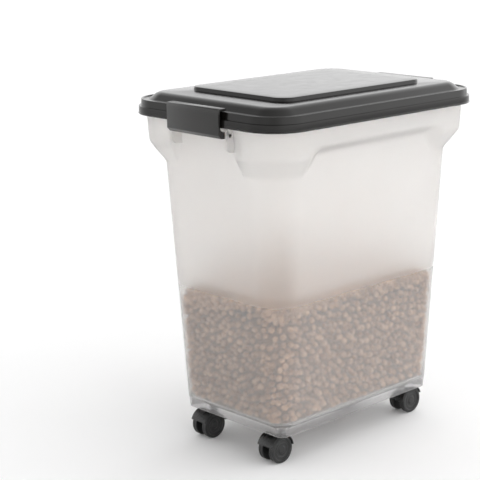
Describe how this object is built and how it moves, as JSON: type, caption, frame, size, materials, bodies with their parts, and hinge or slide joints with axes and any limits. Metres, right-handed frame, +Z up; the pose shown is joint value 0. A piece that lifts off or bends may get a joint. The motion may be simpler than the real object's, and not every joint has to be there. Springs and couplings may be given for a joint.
{
  "type": "pet food bin",
  "caption": "Tall tapered storage bin with a lift-off lid, a latch at each short end and twin-wheel swivel casters under the base.",
  "frame": {"origin": "centre of the bounding box at floor level, under the wheels", "axes": "+X along the long side towards the right latch, +Y across the width towards the back, +Z up"},
  "size_m": [0.448, 0.311, 0.527],
  "materials": {
    "tub_plastic": "milky translucent polypropylene, lightly frosted",
    "lid_plastic": "dark brown-black satin gloss",
    "latch_plastic": "dark brown-black satin gloss",
    "gasket_rubber": "matt foam rubber",
    "caster_steel": "plated",
    "hood_plastic": "black satin",
    "wheel_nylon": "black nylon"
  },
  "bodies": {
    "bin": {"tub": "tub_plastic", "caster_lf_stem": "caster_steel", "caster_lb_stem": "caster_steel", "caster_rf_stem": "caster_steel", "caster_rb_stem": "caster_steel"},
    "lid": {"lid": "lid_plastic", "gasket": "gasket_rubber"},
    "latch_left": {"latch_left": "latch_plastic"},
    "latch_right": {"latch_right": "latch_plastic"},
    "caster_lf": {"caster_lf_hood": "hood_plastic", "caster_lf_axle": "caster_steel"},
    "caster_lf_wheel_front": {"caster_lf_wheel_front": "wheel_nylon"},
    "caster_lf_wheel_back": {"caster_lf_wheel_back": "wheel_nylon"},
    "caster_lb": {"caster_lb_hood": "hood_plastic", "caster_lb_axle": "caster_steel"},
    "caster_lb_wheel_front": {"caster_lb_wheel_front": "wheel_nylon"},
    "caster_lb_wheel_back": {"caster_lb_wheel_back": "wheel_nylon"},
    "caster_rf": {"caster_rf_hood": "hood_plastic", "caster_rf_axle": "caster_steel"},
    "caster_rf_wheel_front": {"caster_rf_wheel_front": "wheel_nylon"},
    "caster_rf_wheel_back": {"caster_rf_wheel_back": "wheel_nylon"},
    "caster_rb": {"caster_rb_hood": "hood_plastic", "caster_rb_axle": "caster_steel"},
    "caster_rb_wheel_front": {"caster_rb_wheel_front": "wheel_nylon"},
    "caster_rb_wheel_back": {"caster_rb_wheel_back": "wheel_nylon"}
  },
  "joints": [
    {"name": "lid_lift", "type": "slide", "parent": "bin", "child": "lid", "axis": [0, 0, 1], "range_m": [0, 0.25]},
    {"name": "latch_left_turn", "type": "hinge", "parent": "bin", "child": "latch_left", "pos_m": [-0.2075, 0, 0.48], "axis": [0, -1, 0], "range_deg": [0, 105]},
    {"name": "latch_right_turn", "type": "hinge", "parent": "bin", "child": "latch_right", "pos_m": [0.2075, 0, 0.48], "axis": [0, 1, 0], "range_deg": [0, 105]},
    {"name": "caster_lf_swivel", "type": "hinge", "parent": "bin", "child": "caster_lf", "pos_m": [-0.1285, -0.0715, 0], "axis": [0, 0, 1], "continuous": true},
    {"name": "caster_lf_wheel_front_spin", "type": "hinge", "parent": "caster_lf", "child": "caster_lf_wheel_front", "pos_m": [-0.143, -0.0715, 0.02], "axis": [0, 1, 0], "continuous": true},
    {"name": "caster_lf_wheel_back_spin", "type": "hinge", "parent": "caster_lf", "child": "caster_lf_wheel_back", "pos_m": [-0.143, -0.0715, 0.02], "axis": [0, 1, 0], "continuous": true},
    {"name": "caster_lb_swivel", "type": "hinge", "parent": "bin", "child": "caster_lb", "pos_m": [-0.1285, 0.0715, 0], "axis": [0, 0, 1], "continuous": true},
    {"name": "caster_lb_wheel_front_spin", "type": "hinge", "parent": "caster_lb", "child": "caster_lb_wheel_front", "pos_m": [-0.143, 0.0715, 0.02], "axis": [0, 1, 0], "continuous": true},
    {"name": "caster_lb_wheel_back_spin", "type": "hinge", "parent": "caster_lb", "child": "caster_lb_wheel_back", "pos_m": [-0.143, 0.0715, 0.02], "axis": [0, 1, 0], "continuous": true},
    {"name": "caster_rf_swivel", "type": "hinge", "parent": "bin", "child": "caster_rf", "pos_m": [0.1285, -0.0715, 0], "axis": [0, 0, 1], "continuous": true},
    {"name": "caster_rf_wheel_front_spin", "type": "hinge", "parent": "caster_rf", "child": "caster_rf_wheel_front", "pos_m": [0.143, -0.0715, 0.02], "axis": [0, 1, 0], "continuous": true},
    {"name": "caster_rf_wheel_back_spin", "type": "hinge", "parent": "caster_rf", "child": "caster_rf_wheel_back", "pos_m": [0.143, -0.0715, 0.02], "axis": [0, 1, 0], "continuous": true},
    {"name": "caster_rb_swivel", "type": "hinge", "parent": "bin", "child": "caster_rb", "pos_m": [0.1285, 0.0715, 0], "axis": [0, 0, 1], "continuous": true},
    {"name": "caster_rb_wheel_front_spin", "type": "hinge", "parent": "caster_rb", "child": "caster_rb_wheel_front", "pos_m": [0.143, 0.0715, 0.02], "axis": [0, 1, 0], "continuous": true},
    {"name": "caster_rb_wheel_back_spin", "type": "hinge", "parent": "caster_rb", "child": "caster_rb_wheel_back", "pos_m": [0.143, 0.0715, 0.02], "axis": [0, 1, 0], "continuous": true}
  ]
}
